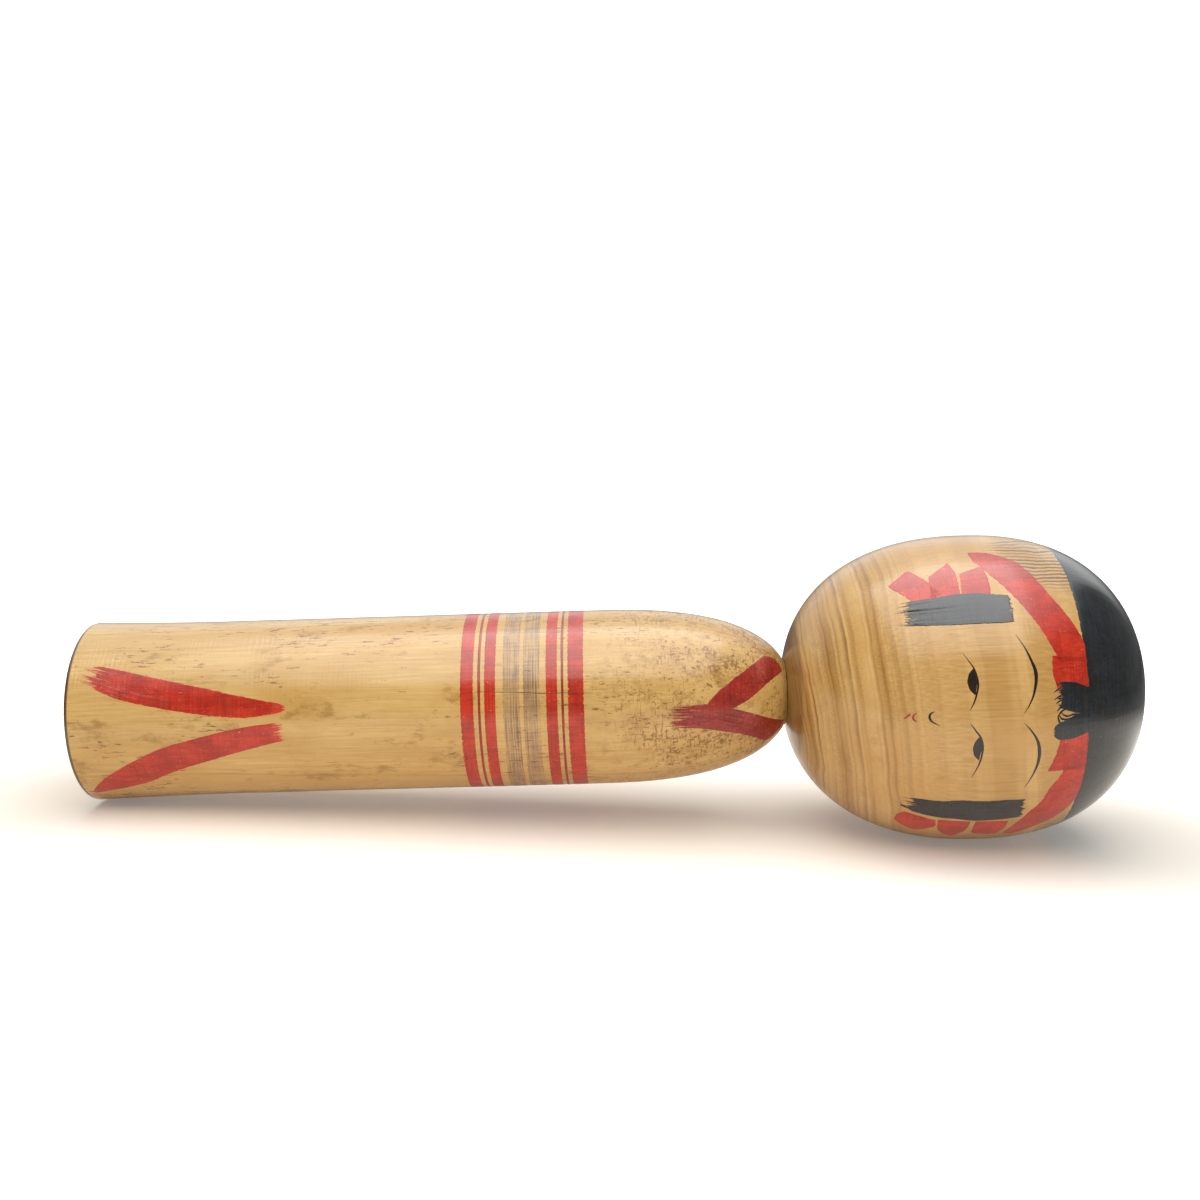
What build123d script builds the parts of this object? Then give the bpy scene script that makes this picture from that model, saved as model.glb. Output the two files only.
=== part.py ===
from build123d import *
import os
from math import acos, cos, sin

# Turned wooden kokeshi doll: a cylindrical body with a rounded shoulder, and a round head
# whose turned neck peg plugs into a bore in the body's top, so that the head can be turned.
# Z runs up the lathe axis from the middle of the flat base. All sizes are in millimetres.

# Body
body_height = 200.2          # base to the flat top of the neck
foot_radius = 25.8           # slightly flared foot
foot_chamfer = 0.8           # broken edge round the base
waist_radius = 25.1          # end of the foot's flare
waist_height = 42.0
chest_radius = 25.1          # start of the rounded shoulder
shoulder_height = 147.0
shoulder_fullness = 2.46     # 2 is an ellipse, more is squarer
neck_radius = 9.6            # the flat top that the head sits on
neck_chamfer = 0.3           # broken edge round that top

# Head
head_height = 99.6           # seat to crown
head_radius = 43.5
widest_above_seat = 51.3     # the head's widest circle, over its seat
crown_fullness = 2.34
chin_fullness = 2.26
seat_overhang = 0.3          # the head's flat seat is wider than the neck by this
seat_gap = 0.2               # thin shadow line between the neck's top and the seat

# Neck peg, turned in one piece with the head, and its bore
peg_radius = 6.0
peg_length = 22.0
peg_tip_chamfer = 1.2
peg_clearance = 0.05         # on the radius, a snug turning fit
bore_end_gap = 2.0           # air below the peg's tip
bore_lead_in = 0.5           # chamfer at the bore's mouth

# A rounded quarter is one smooth curve through this many steps
steps_per_quarter = 12

seat_height = body_height + seat_gap
total_height = seat_height + head_height
widest_height = seat_height + widest_above_seat
seat_radius = neck_radius + seat_overhang
bore_radius = peg_radius + peg_clearance
bore_bottom = seat_height - peg_length - bore_end_gap


def full_reach(span, end_radius, widest_radius, fullness):
    # length along the axis of the whole quarter whose first part, span, ends at end_radius
    end_share = (end_radius / widest_radius) ** fullness
    return span / (1 - end_share) ** (1 / fullness)


def rounded_quarter(widest_radius, end_radius, start_height, reach, fullness):
    # superellipse from its widest circle to end_radius; a negative reach runs downwards
    last_angle = acos((end_radius / widest_radius) ** (fullness / 2))
    points = []
    for step in range(steps_per_quarter + 1):
        angle = last_angle * step / steps_per_quarter
        radius = widest_radius * cos(angle) ** (2 / fullness)
        height = start_height + reach * sin(angle) ** (2 / fullness)
        points.append((radius, height))
    return points


def end_direction(points):
    # chord of the last step, as the tangent at the end of an open quarter
    (radius_a, height_a), (radius_b, height_b) = points[-2:]
    return (radius_b - radius_a, height_b - height_a)


def turned(edges):
    # closed half section, radius along X and height along Z, spun round the lathe axis
    half_section = make_face(Plane.XZ * (Curve() + edges))
    return revolve(half_section, axis=Axis.Z)


def make_body():
    neck_side_height = body_height - neck_chamfer
    reach = full_reach(neck_side_height - shoulder_height, neck_radius, chest_radius, shoulder_fullness)
    shoulder = rounded_quarter(chest_radius, neck_radius, shoulder_height, reach, shoulder_fullness)
    shoulder[-1] = (neck_radius, neck_side_height)
    foot_edge = (foot_radius, foot_chamfer)
    waist = (waist_radius, waist_height)
    chest = (chest_radius, shoulder_height)
    bore_mouth = (bore_radius + bore_lead_in, body_height)
    top_and_bore = [
        shoulder[-1],
        (neck_radius - neck_chamfer, body_height),
        bore_mouth,
        (bore_radius, body_height - bore_lead_in),
        (bore_radius, bore_bottom),
        (0, bore_bottom),
        (0, 0),
        (foot_radius - foot_chamfer, 0),
        foot_edge,
    ]
    return turned([
        TangentArc(waist, foot_edge, tangent=(0, -1)),
        Line(waist, chest),
        Spline(shoulder, tangents=[(0, 1), end_direction(shoulder)]),
        Polyline(top_and_bore),
    ])


def make_head():
    crown_reach = total_height - widest_height
    crown = rounded_quarter(head_radius, 0, widest_height, crown_reach, crown_fullness)
    crown[-1] = (0, total_height)
    chin_reach = full_reach(widest_above_seat, seat_radius, head_radius, chin_fullness)
    chin = rounded_quarter(head_radius, seat_radius, widest_height, -chin_reach, chin_fullness)
    chin[-1] = (seat_radius, seat_height)
    peg_tip = seat_height - peg_length
    seat_and_peg = [
        chin[-1],
        (peg_radius, seat_height),
        (peg_radius, peg_tip + peg_tip_chamfer),
        (peg_radius - peg_tip_chamfer, peg_tip),
        (0, peg_tip),
        (0, total_height),
    ]
    return turned([
        Spline(crown, tangents=[(0, 1), (-1, 0)]),
        Spline(chin, tangents=[(0, -1), end_direction(chin)]),
        Polyline(seat_and_peg),
    ])


nodes = {"body": make_body(), "head": make_head()}

os.makedirs("parts", exist_ok=True)
for name, shape in nodes.items():
    export_step(shape, f"parts/{name}.step")
    print(name, round(shape.volume), "mm3")
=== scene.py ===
import bpy
from math import acos, cos, pi, radians, sin, tan
from mathutils import Matrix, Vector


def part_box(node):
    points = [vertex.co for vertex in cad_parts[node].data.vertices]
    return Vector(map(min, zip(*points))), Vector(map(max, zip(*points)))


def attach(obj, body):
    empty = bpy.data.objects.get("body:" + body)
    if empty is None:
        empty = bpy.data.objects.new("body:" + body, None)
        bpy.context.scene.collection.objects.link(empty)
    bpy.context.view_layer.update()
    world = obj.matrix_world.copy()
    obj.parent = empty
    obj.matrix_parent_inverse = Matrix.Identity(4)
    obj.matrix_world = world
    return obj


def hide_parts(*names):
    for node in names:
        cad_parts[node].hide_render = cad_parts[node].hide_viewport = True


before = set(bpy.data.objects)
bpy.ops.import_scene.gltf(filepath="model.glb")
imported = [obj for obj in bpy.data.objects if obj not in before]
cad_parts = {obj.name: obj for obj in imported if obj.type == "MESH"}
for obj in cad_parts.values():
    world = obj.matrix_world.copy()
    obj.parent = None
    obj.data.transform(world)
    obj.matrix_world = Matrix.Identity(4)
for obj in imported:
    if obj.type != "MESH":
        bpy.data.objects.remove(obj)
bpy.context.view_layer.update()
mm = 0.001
rayStart = 100 * mm  # from the lathe axis, well outside the wood
filmDepth = 0.02 * mm  # how far a painted film's back lies under the wood

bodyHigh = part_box("body")[1]
headLow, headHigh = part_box("head")
print("frame loaded: doll", round(headHigh.z / mm), "mm tall")


class Flow:
    # one output of a node: + - * / with numbers or other flows add Math nodes to its sheet

    def __init__(self, sheet, socket):
        self.sheet = sheet
        self.socket = socket

    def __add__(self, other):
        return self.sheet.math("ADD", self, other)

    def __sub__(self, other):
        return self.sheet.math("SUBTRACT", self, other)

    def __rsub__(self, other):
        return self.sheet.math("SUBTRACT", other, self)

    def __mul__(self, other):
        return self.sheet.math("MULTIPLY", self, other)

    def __rmul__(self, other):
        return self.sheet.math("MULTIPLY", other, self)

    def __truediv__(self, other):
        return self.sheet.math("DIVIDE", self, other)


class NodeSheet:
    # adds nodes to one tree and links what it is given

    def __init__(self, tree):
        self.tree = tree

    def node(self, kind, inputs=None, **settings):
        made = self.tree.nodes.new(kind)
        for name, value in settings.items():
            setattr(made, name, value)
        for name, value in (inputs or {}).items():
            if isinstance(value, Flow):
                self.tree.links.new(value.socket, made.inputs[name])
            else:
                made.inputs[name].default_value = value
        return made

    def flow(self, kind, inputs=None, output=0, **settings):
        return Flow(self, self.node(kind, inputs, **settings).outputs[output])

    def math(self, operation, *values, clamp=False):
        return self.flow("ShaderNodeMath", dict(enumerate(values)), operation=operation, use_clamp=clamp)

    def largest(self, first, second):
        return self.math("MAXIMUM", first, second)

    def sine(self, angle):
        return self.math("SINE", angle)

    def cosine(self, angle):
        return self.math("COSINE", angle)

    def vector(self, operation, *values):
        output = "Value" if operation in ("LENGTH", "DOT_PRODUCT", "DISTANCE") else "Vector"
        return self.flow("ShaderNodeVectorMath", dict(enumerate(values)), output, operation=operation)

    def scaled(self, vector, factor):
        return self.flow("ShaderNodeVectorMath", {0: vector, "Scale": factor}, operation="SCALE")

    def join(self, x, y, z):
        return self.flow("ShaderNodeCombineXYZ", {"X": x, "Y": y, "Z": z})

    def split(self, vector):
        made = self.node("ShaderNodeSeparateXYZ", {0: vector})
        return [Flow(self, socket) for socket in made.outputs]

    def outward(self, angle):
        # level direction at an angle round the lathe axis, from the face towards +X
        return self.join(self.sine(angle), self.cosine(angle) * -1, 0)

    def raised(self, vector, height):
        return self.vector("ADD", vector, self.join(0, 0, height))

    def noise(self, vector=None, w=None, scale=1.0, detail=2.0, roughness=0.5):
        # 3D noise on a vector, or 1D noise on a number
        inputs = {"Scale": scale, "Detail": detail, "Roughness": roughness}
        if w is not None:
            return self.flow("ShaderNodeTexNoise", {**inputs, "W": w}, noise_dimensions="1D")
        # uneven octaves keep the noise free of straight lattice lines
        inputs.update({"Vector": vector, "Lacunarity": 2.17})
        return self.flow("ShaderNodeTexNoise", inputs, noise_dimensions="3D")

    def smoothStep(self, value, low, high):
        inputs = {"Value": value, "From Min": low, "From Max": high}
        return self.flow("ShaderNodeMapRange", inputs, interpolation_type="SMOOTHSTEP")

    def span(self, value, low, high, newLow, newHigh):
        return self.flow("ShaderNodeMapRange", {"Value": value, "From Min": low, "From Max": high,
                                                "To Min": newLow, "To Max": newHigh})


def newShapeTree(name, **labels):
    # labels are listed under their socket type; returns the sheet and the flow of each named input
    tree = bpy.data.node_groups.new(name, "GeometryNodeTree")
    for kind, group in {**labels, "Material": ("Material",)}.items():
        for label in group:
            tree.interface.new_socket(label, in_out="INPUT", socket_type="NodeSocket" + kind)
    tree.interface.new_socket("Geometry", in_out="OUTPUT", socket_type="NodeSocketGeometry")
    sheet = NodeSheet(tree)
    given = sheet.node("NodeGroupInput").outputs
    return sheet, {socket.name: Flow(sheet, socket) for socket in given if socket.name}


def finishShapeTree(sheet, geometry, material, sharpAngle=radians(35)):
    # weld, smooth, then Realize Instances and Set Material end every tree
    welded = sheet.flow("GeometryNodeMergeByDistance", {"Geometry": geometry, "Distance": 1e-6})
    angle = sheet.flow("GeometryNodeInputMeshEdgeAngle", output="Unsigned Angle")
    isSoft = sheet.flow("FunctionNodeCompare", {0: angle, 1: sharpAngle}, operation="LESS_THAN")
    inputs = {"Geometry": welded, "Shade Smooth": isSoft}
    smooth = sheet.flow("GeometryNodeSetShadeSmooth", inputs, domain="EDGE")
    real = sheet.flow("GeometryNodeRealizeInstances", {"Geometry": smooth})
    painted = sheet.flow("GeometryNodeSetMaterial", {"Geometry": real, "Material": material})
    sheet.node("NodeGroupOutput", {"Geometry": painted})
    return sheet.tree


def shapeOf(sheet, thing):
    return sheet.flow("GeometryNodeObjectInfo", {"Object": thing}, "Geometry")


def placed(sheet, mesh, position):
    return sheet.flow("GeometryNodeSetPosition", {"Geometry": mesh, "Position": position})


def addGrid(sheet, columnSteps, rows):
    # flat sheet of points, with each point's column and row number
    inputs = {"Size X": 1, "Size Y": 1, "Vertices X": columnSteps + 1, "Vertices Y": rows}
    grid = sheet.flow("GeometryNodeMeshGrid", inputs, "Mesh")
    index = sheet.flow("GeometryNodeInputIndex")
    return grid, sheet.math("FLOOR", (index + 0.5) / rows), sheet.math("FLOORED_MODULO", index, rows)


def makeLatheTree():
    # spins an outline (radius along X, height along Z) round the lathe axis, with shallow tool marks
    sheet, size = newShapeTree("turnedOnLathe", Object=("Outline",), Int=("Segments", "Seed"),
                               Float=("Tool Mark Depth", "Tool Mark Pitch", "Unevenness"))
    outline = sheet.flow("GeometryNodeCurveToMesh", {"Curve": shapeOf(sheet, size["Outline"])})
    rows = sheet.flow("GeometryNodeAttributeDomainSize", {"Geometry": outline}, "Point Count")
    mesh, column, row = addGrid(sheet, size["Segments"], rows)
    position = sheet.flow("GeometryNodeInputPosition")

    def outlinePoint(index):
        inputs = {"Geometry": outline, "Value": position, "Index": index}
        return sheet.flow("GeometryNodeSampleIndex", inputs, data_type="FLOAT_VECTOR", clamp=True)

    along = sheet.vector("SUBTRACT", outlinePoint(row + 1), outlinePoint(row - 1))
    alongX, alongZ = sheet.split(sheet.vector("NORMALIZE", along))[::2]
    radius, height = sheet.split(outlinePoint(row))[::2]
    angle = column / size["Segments"] * (2 * pi)
    sine, cosine = sheet.sine(angle), sheet.cosine(angle)
    inMm = sheet.scaled(sheet.join(sine * radius, cosine * radius, height), 1 / mm)
    seeded = sheet.vector("ADD", inMm, sheet.join(size["Seed"] * 17.3, 0, 0))
    # chatter left by the gouge, stronger in some places, over a slow unevenness from sanding by hand
    wander = sheet.noise(seeded, scale=0.05) * 4
    turns = height / size["Tool Mark Pitch"] + wander
    chatter = sheet.sine(turns * (2 * pi))
    patchy = sheet.smoothStep(sheet.noise(seeded, scale=0.06, detail=1), 0.35, 0.7)
    marks = chatter * patchy * size["Tool Mark Depth"]
    slow = (sheet.noise(seeded, scale=0.045, detail=1) - 0.5) * size["Unevenness"]
    # only walls that face outwards are marked, so the base, neck top, peg and bore stay true
    isOuter = sheet.smoothStep(alongZ, 0.05, 0.4) * sheet.smoothStep(radius, 8 * mm, 12 * mm)
    lift = (marks + slow) * isOuter
    newRadius = radius + lift * alongZ
    newHeight = height - lift * alongX
    place = sheet.join(newRadius * sine, newRadius * (cosine * -1), newHeight)
    return finishShapeTree(sheet, placed(sheet, mesh, place), size["Material"])


def addFilm(sheet, size, mesh, height, outward, isEdge):
    # lays a sheet of points on the wood by rays from outside towards the axis at a height,
    # as a closed film that thins out at its edges
    ray = sheet.node("GeometryNodeRaycast", {
        "Target Geometry": shapeOf(sheet, size["Wood"]), "Ray Length": 1.0,
        "Source Position": sheet.raised(sheet.scaled(outward, rayStart), height),
        "Ray Direction": sheet.scaled(outward, -1)})
    hit, normal = (Flow(sheet, ray.outputs["Hit " + part]) for part in ("Position", "Normal"))
    inside = 1 - isEdge
    top, below = (placed(sheet, mesh, sheet.vector("ADD", hit, sheet.scaled(normal, inside * lift)))
                  for lift in (size["Lift"], -filmDepth))
    below = sheet.flow("GeometryNodeFlipFaces", {"Mesh": below})
    both = sheet.node("GeometryNodeJoinGeometry")
    for layer in (below, top):
        sheet.tree.links.new(layer.socket, both.inputs[0])
    return finishShapeTree(sheet, Flow(sheet, both.outputs[0]), size["Material"])


def storeOn(sheet, mesh, name, value, kind="FLOAT"):
    inputs = {"Geometry": mesh, "Name": name, "Value": value}
    return sheet.flow("GeometryNodeStoreNamedAttribute", inputs, data_type=kind, domain="POINT")


def atEnds(sheet, number, last):
    # 1 on the first and last of a run of numbers, else 0
    return sheet.largest(sheet.math("LESS_THAN", number, 0.5),
                         sheet.math("GREATER_THAN", number, last - 0.5))


def makeStrokeTree():
    # a loaded brush drawn along a path: every bristle is one lane, and dry ends leave lanes of uneven length
    sheet, size = newShapeTree(
        "brushStroke", Object=("Path", "Wood"), Int=("Steps", "Bristles", "Seed"),
        Float=("Surface Radius", "Ragged Start", "Ragged End", "Slant Start", "Slant End", "Round Start",
               "Round End", "Edge Wobble", "Lift"))
    path = shapeOf(sheet, size["Path"])
    length = sheet.flow("GeometryNodeCurveLength", {"Curve": path})
    mesh, step, lane = addGrid(sheet, size["Steps"], size["Bristles"] + 1)
    across = sheet.span(lane / size["Bristles"], 0, 1, -1, 1)
    seed = size["Seed"] * 31.7

    def endCut(ragged, slant, shift):
        # how far short of the path's end each bristle stays: a few reach it as thin tails, most do not,
        # and a slant holds back one side, the left one (seen along the path) when it is negative
        key = across * 9 + (seed + shift)
        fine = sheet.noise(w=key * 3.1, scale=1, detail=1)
        coarse = sheet.noise(w=key, scale=0.35, detail=1)
        both = fine * 0.6 + coarse * 0.4
        tail = 1 - sheet.smoothStep(both, 0.3, 0.7)
        lag = 1 - sheet.math("POWER", tail, 2)
        side = sheet.span(across * sheet.math("SIGN", slant), -1, 1, 0, 1)
        return (lag * ragged + side * sheet.math("ABSOLUTE", slant)) / length

    startCut = endCut(size["Ragged Start"], size["Slant Start"], 2)
    finishCut = endCut(size["Ragged End"], size["Slant End"], 5)
    along = startCut + step / size["Steps"] * (1 - (startCut + finishCut))
    inputs = {"Curves": path, "Value": sheet.flow("GeometryNodeInputRadius"), "Factor": along}
    settings = {"data_type": "FLOAT", "mode": "FACTOR", "use_all_curves": True}
    sample = sheet.node("GeometryNodeSampleCurve", inputs, **settings).outputs
    pathWidth, pathPoint, pathAim = (Flow(sheet, sample[part]) for part in ("Value", "Position", "Tangent"))
    distance = along * length

    def rounding(fromEnd, reach):
        # quarter circle over the rounded length, and 1 beyond it
        short = 1 - sheet.math("DIVIDE", fromEnd, sheet.largest(reach, 1e-06), clamp=True)
        return sheet.math("SQRT", 1 - short * short)

    fromEnd = length - distance
    ends = rounding(distance, size["Round Start"]) * rounding(fromEnd, size["Round End"])
    side = sheet.math("SIGN", across) * 40
    wobble = sheet.noise(w=distance / mm + (side + seed), scale=0.7, detail=3, roughness=0.6) - 0.5
    edgeShare = across * sheet.math("ABSOLUTE", across)
    wobble = wobble * edgeShare * size["Edge Wobble"] * ends
    lateral = across * (pathWidth * mm * ends) + wobble
    aimX, aimZ = sheet.split(pathAim)[::2]
    sideways = sheet.join(aimZ * -1, 0, aimX)
    flat = sheet.vector("ADD", pathPoint, sheet.scaled(sideways, lateral))
    arc, height = sheet.split(flat)[::2]
    outward = sheet.outward(arc / size["Surface Radius"])

    def drying(fromHere, ragged):
        # 0 where the brush is wet, rising to 1 at a ragged end
        reach = sheet.largest(ragged * 2.5, 1e-06)
        return 1 - sheet.math("DIVIDE", fromHere, reach, clamp=True)

    dryness = sheet.largest(drying(distance, size["Ragged Start"]), drying(fromEnd, size["Ragged End"]))
    mesh = storeOn(sheet, mesh, "dryness", dryness)
    brushPlace = sheet.join(distance / mm, lateral / mm, seed)
    mesh = storeOn(sheet, mesh, "brushPlace", brushPlace, "FLOAT_VECTOR")
    isEdge = sheet.largest(atEnds(sheet, step, size["Steps"]), atEnds(sheet, lane, size["Bristles"]))
    return addFilm(sheet, size, mesh, height, outward, isEdge)


def addRing(sheet, size):
    # grid wrapped round the lathe axis: its mesh, each point's row and its level direction outwards
    mesh, column, row = addGrid(sheet, size["Segments"], size["Rows"] + 1)
    return mesh, row, sheet.outward(column / size["Segments"] * (2 * pi))


def wanderingEdge(sheet, size, outward, height, shift, scale, roughness):
    # a height that strays a little round the axis
    key = sheet.raised(outward, size["Seed"] * 3.7 + shift)
    wave = sheet.noise(key, scale=scale, detail=5, roughness=roughness) - 0.5
    return height + wave * size["Edge Wobble"]


def makeBandTree():
    # colour held against the turning work: a closed ring with slightly wandering edges
    sheet, size = newShapeTree("bandOnLathe", Object=("Wood",), Int=("Segments", "Rows", "Seed"),
                               Float=("Low", "High", "Edge Wobble", "Lift"))
    mesh, row, outward = addRing(sheet, size)
    low, high = (wanderingEdge(sheet, size, outward, size[edge], shift, 2.5, 0.65)
                 for edge, shift in (("Low", 0), ("High", 11)))
    height = low + row / size["Rows"] * (high - low)
    return addFilm(sheet, size, mesh, height, outward, atEnds(sheet, row, size["Rows"]))


def makeCapTree():
    # ink over the whole crown, from a brushed edge to the pole, laid on by rays towards the head's middle
    sheet, size = newShapeTree("inkOverCrown", Object=("Wood",), Int=("Segments", "Rows", "Seed"),
                               Float=("Middle Height", "Edge Height", "Edge Radius", "Edge Wobble", "Lift"))
    mesh, row, outward = addRing(sheet, size)
    edge = wanderingEdge(sheet, size, outward, size["Edge Height"], 0, 3, 0.6)
    edgeRise = sheet.math("ARCTAN2", edge - size["Middle Height"], size["Edge Radius"])
    rise = edgeRise + row / size["Rows"] * (pi / 2 - edgeRise)
    aim = sheet.raised(sheet.scaled(outward, sheet.cosine(rise)), sheet.sine(rise))
    return addFilm(sheet, size, mesh, size["Middle Height"], aim, sheet.math("LESS_THAN", row, 0.5))


def growPiece(name, tree, body, values):
    # runs a tree on an empty mesh, keeps its result as a plain mesh and drops the modifier
    piece = bpy.data.objects.new(name, bpy.data.meshes.new(name))
    bpy.context.scene.collection.objects.link(piece)
    modifier = piece.modifiers.new("shape", "NODES")
    modifier.node_group = tree
    for item in tree.interface.items_tree:
        if item.in_out == "INPUT":
            modifier[item.identifier] = values[item.name]
    depsgraph = bpy.context.evaluated_depsgraph_get()
    made = bpy.data.meshes.new_from_object(piece.evaluated_get(depsgraph), preserve_all_data_layers=True,
                                           depsgraph=depsgraph)
    piece.modifiers.remove(modifier)
    empty = piece.data
    piece.data = made
    bpy.data.meshes.remove(empty)
    made.name = name
    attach(piece, body)
    return piece


def temporaryCurve(name, points, smooth):
    # points are (x, z) or (x, z, half width in mm); a smooth curve passes through them all
    curve = bpy.data.curves.new(name, "CURVE")
    curve.dimensions = "3D"
    curve.resolution_u = 16
    spline = curve.splines.new("BEZIER" if smooth else "POLY")
    if smooth:
        spline.bezier_points.add(len(points) - 1)
        spline.radius_interpolation = "CARDINAL"
        for knot, (x, z, halfWidth) in zip(spline.bezier_points, points):
            knot.co = (x, 0, z)
            knot.radius = halfWidth
            knot.handle_left_type = knot.handle_right_type = "AUTO"
    else:
        spline.points.add(len(points) - 1)
        for knot, (x, z) in zip(spline.points, points):
            knot.co = (x, 0, z, 1)
    made = bpy.data.objects.new(name, curve)
    bpy.context.scene.collection.objects.link(made)
    return made


def removeCurve(helper):
    curve = helper.data
    bpy.data.objects.remove(helper)
    bpy.data.curves.remove(curve)


def newMaterial(name):
    material = bpy.data.materials.new(name)
    material.use_nodes = True
    material.node_tree.nodes.clear()
    return material, NodeSheet(material.node_tree)


def mixColour(sheet, factor, first, second):
    inputs = {"Factor": factor, 6: first, 7: second}  # 6 and 7 are its two colours
    return sheet.flow("ShaderNodeMix", inputs, 2, data_type="RGBA", clamp_factor=True)


patterns = {
    # repeats per mm along x, y and z, then detail and roughness
    "patches": ((0.06, 0.06, 0.05), 3, 0.5),
    "drift": ((0.07, 0.07, 0.09), 3, 0.5),
    "fibres": ((2.2, 2.2, 0.06), 4, 0.65),
    "blotches": ((0.05, 0.05, 0.03), 5, 0.6),
    "stains": ((0.12, 0.12, 0.06), 6, 0.72),
    "crowding": ((0.07, 0.07, 0.04), 3, 0.5),
    "dashes": ((1.3, 1.3, 0.26), 4, 0.65),
    "scuffs": ((0.32, 0.32, 1.7), 3, 0.65),
    "pits": ((0.95, 0.95, 0.6), 4, 0.7),
    "mottle": ((0.4, 0.4, 0.3), 5, 0.7),
    "rings": ((0.06, 0.06, 4.0), 3, 0.7),
    "clouds": ((0.22, 0.22, 0.16), 4, 0.6),
    "streaks": ((0.12, 2.4, 1), 3, 0.65),
    "wear": ((1.3, 1.3, 0.9), 3, 0.65),
}


def addPattern(sheet, place, name):
    stretch, detail, roughness = patterns[name]
    return sheet.noise(sheet.vector("MULTIPLY", place, stretch), scale=1, detail=detail, roughness=roughness)


def closeTo(sheet, place, centre, inner, outer):
    # 1 within the inner distance of a point, fading to 0 at the outer one
    return 1 - sheet.smoothStep(sheet.vector("DISTANCE", place, centre), inner, outer)


def addGrowthLayers(sheet, place, look):
    # nearly flat layers; in each the early wood darkens slowly into a thin late line that stops sharply
    across = sheet.vector("DOT_PRODUCT", place, look["layerNormal"])
    x = sheet.split(place)[0]
    bow = x * x / look["layerBow"]
    warp = sheet.noise(sheet.vector("MULTIPLY", place, look["warpGrain"]), scale=1, detail=3)
    depth = across + bow + warp * look["layerWarp"]
    # layers are crowded at their start and wider further on
    depth = sheet.largest(depth - look["layerStart"], 0)
    years = sheet.math("POWER", depth, look["layerSpread"]) * look["layerCount"]
    years = years + sheet.noise(w=years, scale=0.4, detail=1) * 2.2
    season = sheet.math("FRACT", years)
    late = sheet.smoothStep(season, 0.3, 0.88) * (1 - sheet.smoothStep(season, 0.88, 1.0))
    harshness = sheet.noise(w=sheet.math("FLOOR", years) * 7.31, scale=1, detail=0)
    late = late * sheet.span(harshness, 0.3, 0.65, 0.1, 1)
    broad = sheet.noise(w=years, scale=0.35, detail=2)
    return late, broad


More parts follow.
